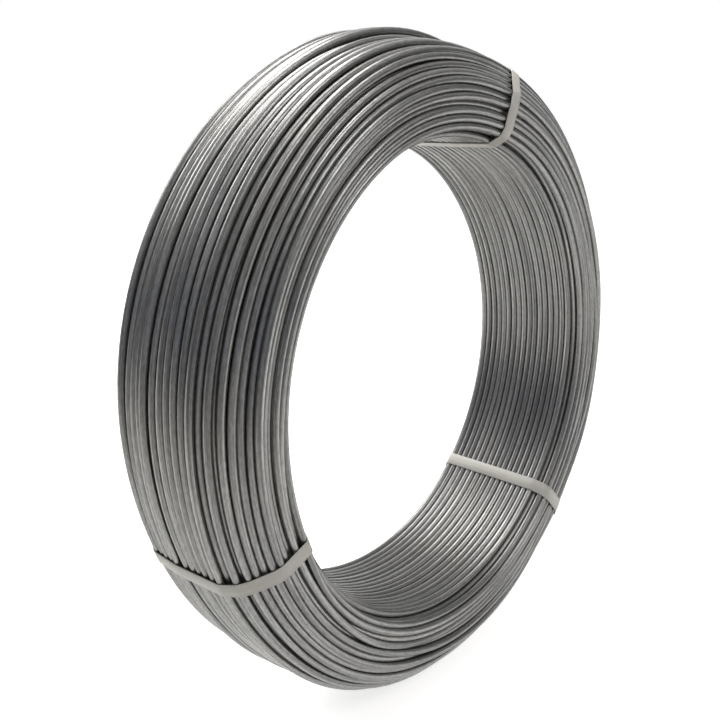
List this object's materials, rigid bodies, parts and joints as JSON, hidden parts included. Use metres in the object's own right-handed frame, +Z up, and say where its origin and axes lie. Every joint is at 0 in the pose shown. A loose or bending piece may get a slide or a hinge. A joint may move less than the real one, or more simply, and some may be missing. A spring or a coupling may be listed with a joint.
{
  "type": "coil of tension wire",
  "caption": "Ring-shaped coil of bare galvanised steel wire with an open bore, held by narrow plastic straps round the winding; stock for stretching fences and trellises.",
  "frame": {"origin": "on the floor, under the middle of the coil, which stands on its rim", "axes": "+Y along the coil's axis, +Z up; the straps are counted from +X towards +Z"},
  "size_m": [0.1772, 0.0406, 0.1772],
  "materials": {
    "galvanised_wire": "drawn, bright galvanised",
    "strap_plastic": "milky plastic band"
  },
  "bodies": {
    "root": {"wire_coil": "galvanised_wire", "strap_upper": "strap_plastic", "strap_left": "strap_plastic", "strap_right": "strap_plastic"}
  },
  "joints": []
}
